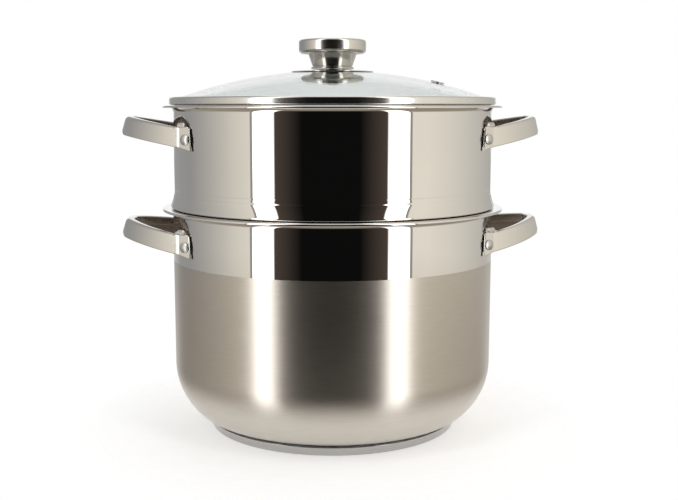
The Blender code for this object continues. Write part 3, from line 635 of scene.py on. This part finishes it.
def knob_foot():
    """Flat ring under the stem, with a half-round edge."""
    half = 0.0006
    chain = outline(
        (SCREW_BORE, FOOT_BOTTOM),
        (0.0158, FOOT_BOTTOM),
        arc(0.0156, FOOT_BOTTOM + half, half, -90, 90, 10),
        (SCREW_BORE, FOOT_BOTTOM + 2.0 * half),
    )
    return turned("knob_foot", chain, [knob_steel], sides=128)


def knob_stem_body():
    """Waisted stem: foot radius, straight cone, small fillet and a flange under the cap."""
    top, thread, blind_end = STEM_BOTTOM + 0.0100, 0.0025, STEM_BOTTOM + 0.0090
    foot_bend, flange, under_cap = 0.0004, 0.0215, STEM_BOTTOM + 0.0100 + 0.0016
    chain = outline(
        (0.0, blind_end), (thread, blind_end), (thread, STEM_BOTTOM),
        arc(0.0146, STEM_BOTTOM + foot_bend, foot_bend, -90, -18, 5),
        (0.0183, top - 0.0002),
        (flange, top), (flange, under_cap), (0.0, under_cap),
    )
    return turned("knob_stem_body", chain, [knob_steel], sides=160, closed=False)


def knob_cap_body():
    """Hollow cap: slightly crowned top, round shoulder, upright side and an edge curled inwards."""
    top, s, shoulder, curl = CAP_BOTTOM + 0.0106, 0.0012, 0.0021, 0.0030
    chain = outline(
        (0.0, top), (0.0100, top - 0.0001),
        arc(0.0232, top - 0.0004 - shoulder, shoulder, 88, 0, 14),
        arc(0.0223, CAP_BOTTOM + curl, curl, 0, -90, 12),
        (0.0198, CAP_BOTTOM), (0.0198, CAP_BOTTOM + 0.0003), (0.0216, CAP_BOTTOM + 0.0009),
        arc(0.0223, CAP_BOTTOM + curl, curl - s, -60, 0, 4),
        arc(0.0232, top - 0.0004 - shoulder, shoulder - s, 0, 90, 6),
        (0.0, top - s - 0.0005),
    )
    return turned("knob_cap_body", chain, [cap_steel], sides=192, closed=False)


# Handles

class Loop:
    """Plan of a handle: tip arc round the X axis, side arc tangent to it, straight pad."""

    def __init__(self, wall):
        self.stop, self.tip = wall + GAP + STRAP, wall + REACH
        self.pad_turn, self.side_turn = 0.5 * math.pi - PAD_ANGLE, 0.5 * math.pi - SIDE_ANGLE
        self.end = np.array([math.sqrt(self.stop ** 2 - 0.25 * SPAN ** 2), 0.5 * SPAN])
        self.out = np.array([math.cos(PAD_ANGLE), -math.sin(PAD_ANGLE)])
        self.crease = self.end + self.out * PAD_LENGTH
        side = compass(self.side_turn)
        self.tip_centre = np.array([self.tip - TIP_RADIUS, 0.0])
        chord = self.crease - self.tip_centre
        self.side_radius = (chord @ chord - TIP_RADIUS ** 2) / (2.0 * (chord @ side - TIP_RADIUS))
        self.side_centre = self.crease - side * self.side_radius
        across = self.tip_centre - self.side_centre
        self.meeting = math.atan2(across[1], across[0])
        self.ledge_turn = self.side_turn - LEDGE_STOP / self.side_radius

    def points(self, turn):
        """Points of the plan at each turn: on the tip arc up to the meeting, then on the side."""
        tip = self.tip_centre + TIP_RADIUS * compass(turn)
        side = self.side_centre + self.side_radius * compass(turn)
        return np.where((turn <= self.meeting)[:, None], tip, side)

    def base(self, at, mount):
        """Height of the lower edge: the mount's plus RISE times the share of the way out."""
        return mount + RISE * (at[:, 0] - self.crease[0]) / (self.tip - self.crease[0])


def strap_section(height, width, curl, shoulder):
    """Closed section (inward, up): wall whose foot curls inwards as a parabola CURL_HEIGHT high,
    round shoulder, ledge and turned-down lip."""
    t, r, corner, lip, bend = STRAP, shoulder, 0.0004, 0.0068, 0.0010
    pull = curl * (1.0 - LEVELS / CURL_HEIGHT) ** 2
    foot = curl * (1.0 - 0.5 * t / CURL_HEIGHT) ** 2
    return np.vstack((
        np.column_stack((t + pull, LEVELS))[::-1],
        arc(foot + 0.5 * t, 0.5 * t, 0.5 * t, 0, -180, 8),
        np.column_stack((pull, LEVELS)), [[0.0, height - r - 0.0004]],
        arc(r, height - r, r, 180, 90, 10),
        arc(width - bend, height - bend, bend, 90, 0, 6),
        arc(width - 0.5 * t, height - lip + 0.5 * t, 0.5 * t, 0, -180, 8),
        arc(width - t - corner, height - t - corner, corner, 0, 90, 3),
        arc(t + corner, height - t - corner, corner, 90, 180, 3),
    ))


def end_section():
    """Section of the strap where its ledge stops."""
    return strap_section(END_HEIGHT, END_LEDGE, 0.0, END_SHOULDER)


def plain_section(low, top):
    """Section of the bare pad with as many points as the strap's: the ledge's points lie on the
    inner face."""
    t, up = STRAP, low + LEVELS
    front = np.vstack((
        np.column_stack((np.full(len(up), t), up))[::-1],
        arc(0.5 * t, low + 0.5 * t, 0.5 * t, 0, -180, 8),
        np.column_stack((np.zeros(len(up)), up)), [[0.0, top - 0.5 * t - 0.0004]],
        arc(0.5 * t, top - 0.5 * t, 0.5 * t, 180, 0, 17),
    ))
    rest = len(end_section()) - len(front)
    levels = np.linspace(top - 0.5 * t, low + CURL_HEIGHT, rest + 2)[1:-1]
    return np.vstack((front, np.column_stack((np.full(rest, t), levels))))


def sweep(at, section, lean, base, turn):
    """World points of (inward, up) sections: at - normal * (inward + lean * up) in plan, and
    base + up in height."""
    inward, up = section[..., 0], section[..., 1]
    level = at[:, None] - compass(turn)[:, None] * (inward + lean[:, None] * up)[..., None]
    return np.concatenate((level, (base[:, None] + up)[..., None]), -1)


def slide(points, direction, radius):
    """Points moved along a level direction until they lie at a radius from the Z axis."""
    along = points[:, :2] @ direction
    spread = np.sqrt(along ** 2 - (points[:, :2] ** 2).sum(1) + radius ** 2)
    return points + np.append(direction, 0.0) * (spread - along)[:, None]


def strap_rings(loop, mount):
    """Rings of half a handle, from its tip to the wall. Along the loop height, ledge, curl,
    shoulder and lean go from the tip's value to the end's with 3 s squared minus 2 s cubed, s
    being the share of the turn that is left. Then the ledge fades, and the bare pad follows."""
    turn = np.concatenate((
        np.linspace(0.0, loop.meeting, TIP_RINGS)[:-1],
        np.linspace(loop.meeting, loop.ledge_turn, SIDE_RINGS),
    ))
    left = 1.0 - turn / loop.ledge_turn
    ease = left * left * (3.0 - 2.0 * left)
    height = END_HEIGHT + (TIP_HEIGHT - END_HEIGHT) * ease
    lean = LEAN_END + (LEAN_TIP - LEAN_END) * ease
    at = loop.points(turn)
    sections = np.array([
        strap_section(h, END_LEDGE + MORE_LEDGE * e, TIP_CURL * e, END_SHOULDER + MORE_SHOULDER * e)
        for h, e in zip(height, ease)
    ])
    rings = [sweep(at, sections, lean, loop.base(at, mount), turn)]

    turn = np.linspace(loop.ledge_turn, loop.side_turn, FADE_RINGS + 2)[1:-1]
    at = loop.points(turn)
    fade = np.clip(np.linspace(0.0, 3.0, FADE_RINGS), 0.0, 1.0)[:, None, None]
    full, plain = end_section(), plain_section(0.0, END_HEIGHT)
    sections, lean = full + (plain - full) * fade, np.full(FADE_RINGS, LEAN_END)
    rings.append(sweep(at, sections, lean, loop.base(at, mount), turn))

    for pull in CREASE_RINGS:
        rings.append(rings[-1][-1:] * (1.0 - pull) + pull * pad_ring(loop, mount, 1.0, 0.0))
    for share, corner in PAD_RINGS:
        rings.append(pad_ring(loop, mount, share, corner * PAD_CORNER))
    return np.vstack(rings)


def pad_ring(loop, mount, share, corner):
    """Pad section at a share of its length from the wall, its top cut down by the corner."""
    low, top = -PAD_DROP * (1.0 - share), END_HEIGHT + PAD_RISE * (1.0 - share) - corner
    section = plain_section(low, top)
    turn, lean, base = np.array([loop.pad_turn]), np.array([LEAN_END]), np.array([mount])
    face = np.column_stack((np.zeros(len(section)), section[:, 1]))
    normal = np.append(compass(loop.pad_turn), 0.0)
    at_wall = slide(sweep(loop.end[None], face[None], lean, base, turn)[0], loop.out, loop.stop)
    at_wall -= normal * section[:, :1]
    at_crease = sweep(loop.crease[None], section[None], lean, base, turn)[0]
    return (at_wall + (at_crease - at_wall) * share)[None]


def strap_body(name, loop, mount, hand):
    """Whole strap from half of it; its lip and inner side are duller than the outside and coloured
    dark brown as painted shade.
    """
    half = strap_rings(loop, mount)
    mirrored = half[1:] * [1.0, -1.0, 1.0]
    rings = np.concatenate((half[::-1], mirrored)) * [hand, hand, 1.0]
    rows, columns = rings.shape[:2]
    faces = grid_faces(rows, columns).tolist()
    faces += [list(range(columns)), list(range((rows - 1) * columns, rows * columns))]
    column = np.arange(columns)
    # Faces inside the loop and round the lip take the duller finish whose dark colour is painted
    # shade
    dull_and_shaded = (column < OUTSIDE_FIRST) | (column > OUTSIDE_LAST)
    slots = np.append(np.tile(dull_and_shaded, rows - 1), (0, 0))
    return make_object(name, rings.reshape(-1, 3), faces, [handle_steel, strap_painted_shade], slots)


def rivet_body(name, loop, mount, hand, side):
    """Low dome on the pad: height 1.5 mm minus 0.8 mm times the share of the radius squared, a
    rounded edge, and its shank."""
    normal = compass(loop.pad_turn)
    spot = loop.end + loop.out * RIVET_INSET - normal * LEAN_END * RIVET_HEIGHT
    axis = Vector((normal[0] * hand, normal[1] * side * hand, LEAN_END)).normalized()
    middle = Vector((spot[0] * hand, spot[1] * side * hand, mount + RIVET_HEIGHT))
    matrix = Matrix.Translation(middle) @ axis.to_track_quat("Z", "Y").to_matrix().to_4x4()
    head, shank, shank_end = 0.0036, 0.0016, -0.0022
    share = np.linspace(0.0, 1.0, 12)
    crown = np.column_stack((head * share, 0.0015 - 0.0008 * share ** 2))
    edge = arc(0.0034, 0.0005, 0.0004, 20, -30, 4)
    chain = np.vstack((crown, edge, [[shank, GAP], [shank, shank_end], [0.0, shank_end]]))
    return turned(name, chain, [fastener], sides=SMALL_ROUND, closed=False, frame_matrix=matrix)


# The pieces put together

dress(pot_body(), "pot", "brushed_steel", "pot_shell")
dress(base_cap_body(), "pot", "brushed_steel", "base_cap")
dress(steamer_wall(), "steamer", "polished_steel", "steamer_shell")
dress(steamer_floor(), "steamer", "polished_steel", "steamer_shell")
for owner, wall, rim in (("pot", POT_RADIUS, POT_HEIGHT), ("steamer", STEAMER_RADIUS, STEAMER_TOP)):
    loop = Loop(wall)
    mount = rim - RIVET_DROP - RIVET_HEIGHT
    for hand, hand_name in ((1.0, "right"), (-1.0, "left")):
        strap = strap_body(f"{owner}_strap_{hand_name}", loop, mount, hand)
        dress(strap, owner, "polished_steel", f"{owner}_handle_{hand_name}")
        for side in (1.0, -1.0):
            label = f"{hand_name}_{'rear' if side * hand > 0.0 else 'front'}"
            rivet = rivet_body(f"{owner}_rivet_head_{label}", loop, mount, hand, side)
            dress(rivet, owner, "fastener_steel", f"{owner}_rivet_{label}")
dress(lid_band(), "lid", "polished_steel", "lid_rim")
dress(lid_glass_body(), "lid", "glass", "lid_glass")
dress(vent_body(), "lid", "fastener_steel", "vent_eyelet")
dress(knob_plate(), "lid", "polished_steel", "knob_rosette")
dress(knob_foot(), "lid", "polished_steel", "knob_foot_ring")
dress(knob_stem_body(), "lid", "polished_steel", "knob_stem")
dress(knob_cap_body(), "lid", "polished_steel", "knob_cap")

# Nodes that stay as they were packed: lugs and screw are fastener steel, these three aren't
other_finish = {"base_core": aluminium, "knob_gasket": silicone, "knob_washer": knob_steel}
for name, node in nodes.items():
    for slot in node.material_slots:
        slot.material = other_finish.get(name, fastener)


# Studio

def studio_world():
    """Plain studio round the pot: a dark opening in front, a framed white panel on each side of
    it, walls that grow darker towards the back, the left one sooner, a white ceiling, a dim room
    floor that turns pale behind the pot, and a white backdrop there. The camera and clear glass
    see white all round."""
    world = bpy.data.worlds.new("studio")
    bpy.context.scene.world = world
    world.use_nodes = True
    tree = world.node_tree
    tree.nodes.clear()
    link = tree.links.new
    turn = tree.nodes.new("ShaderNodeMapping")
    turn.inputs["Rotation"].default_value = (0.0, 0.0, math.radians(5.0))
    link(tree.nodes.new("ShaderNodeTexCoord").outputs["Generated"], turn.inputs["Vector"])
    x, y, z = parts_of(tree, turn.outputs["Vector"])
    to_right = math_node(tree, "ARCTAN2", x, math_node(tree, "MULTIPLY", y, -1.0))
    to_left = math_node(tree, "MULTIPLY", to_right, -1.0)
    aside = math_node(tree, "ABSOLUTE", to_right)
    height = math_node(tree, "ARCSINE", z)

    def past(angle, start, end):
        """0 up to the start and 1 past the end, in degrees."""
        return remap(tree, angle, 0.0, 1.0, math.radians(start), math.radians(end))

    def short_of(angle, start, end):
        """1 up to the start and 0 past the end, in degrees."""
        return remap(tree, angle, 1.0, 0.0, math.radians(start), math.radians(end))

    # Each layer lies over those before it: colour, side of the angle, angle, start and end
    layers = (
        (BACK_WALL, past, aside, 70.0, 160.0),
        (LEFT_WALL, past, to_left, 50.0, 120.0),
        (ROOM_FLOOR, short_of, height, -20.0, -8.0),
        (PANEL_FRAME, short_of, aside, 57.5, 58.0),
        (PANEL, short_of, aside, 55.5, 56.0),
        (OPENING_EDGE, short_of, aside, 39.0, 41.0),
        (OPENING, short_of, aside, 20.0, 38.0),
        (WHITE, past, height, 60.0, 75.0),
        (ROOM_FLOOR, short_of, height, -48.0, -24.0),
    )
    tent = FRONT_WALL
    for colour, side_of, angle, start, end in layers:
        tent = laid_over(tree, tent, colour, side_of(angle, start, end))
    pale = math_node(tree, "MULTIPLY", past(aside, 138.0, 156.0), short_of(height, -14.0, -4.0))
    tent = laid_over(tree, tent, TABLE_COLOUR, pale)
    behind = math_node(tree, "MULTIPLY", past(aside, 156.0, 162.0), past(height, -3.0, 0.0))
    tent = laid_over(tree, tent, WHITE, behind)

    rays = tree.nodes.new("ShaderNodeLightPath").outputs
    plain = math_node(tree, "MAXIMUM", rays["Is Camera Ray"], rays["Is Transmission Ray"])
    shown = laid_over(tree, tent, WHITE, plain)
    light = tree.nodes.new("ShaderNodeBackground")
    link(shown, light.inputs["Color"])
    link(light.outputs["Background"], tree.nodes.new("ShaderNodeOutputWorld").inputs["Surface"])


def studio_floor():
    """Round pale table top that fades out at its edge. Camera, mirror and glass rays all see it
    lifted nearly to white, with the pot's soft shadow on it."""
    t = np.linspace(0.0, 2.0 * math.pi, TABLE_SIDES, endpoint=False)
    points = np.column_stack((TABLE_RADIUS * compass(t), np.full(TABLE_SIDES, TABLE_LEVEL)))
    material, tree, shader = finish("pale_table", TABLE_COLOUR, 0.9, 0.0)
    link = tree.links.new
    x, y, _ = parts_of(tree, place(tree))
    rays = tree.nodes.new("ShaderNodeLightPath").outputs
    seen = math_node(tree, "MAXIMUM", rays["Is Camera Ray"], rays["Is Transmission Ray"])
    lift = tree.nodes.new("ShaderNodeEmission")
    lift.inputs["Color"].default_value = (*TABLE_LIFT, 1.0)
    link(math_node(tree, "MAXIMUM", seen, rays["Is Glossy Ray"]), lift.inputs["Strength"])
    both = tree.nodes.new("ShaderNodeAddShader")
    link(shader.outputs["BSDF"], both.inputs[0])
    link(lift.outputs["Emission"], both.inputs[1])
    radius = from_axis(tree, x, y)
    fade = tree.nodes.new("ShaderNodeMixShader")
    link(remap(tree, radius, 0.0, 1.0, *TABLE_FADE), fade.inputs["Fac"])
    link(both.outputs["Shader"], fade.inputs[1])
    link(tree.nodes.new("ShaderNodeBsdfTransparent").outputs["BSDF"], fade.inputs[2])
    link(fade.outputs["Shader"], tree.nodes["Material Output"].inputs["Surface"])
    floor = make_object("table_top", points, [list(range(TABLE_SIDES))], [material])


studio_world()
studio_floor()

camera = bpy.data.objects.new("camera", bpy.data.cameras.new("camera"))
camera.data.sensor_width = SENSOR
camera.data.lens = LENS_PIXELS * SENSOR / PHOTO_WIDTH
camera.data.shift_x = SHIFT_PIXELS / PHOTO_WIDTH
camera.matrix_world = (
    Matrix.Rotation(math.radians(CAMERA_TURN), 4, "Z")
    @ Matrix.Translation(CAMERA_PLACE)
    @ Matrix.Rotation(math.radians(90.0 - CAMERA_DIP), 4, "X")
)
bpy.context.collection.objects.link(camera)
bpy.context.scene.camera = camera
bpy.context.scene.view_settings.view_transform = "Standard"
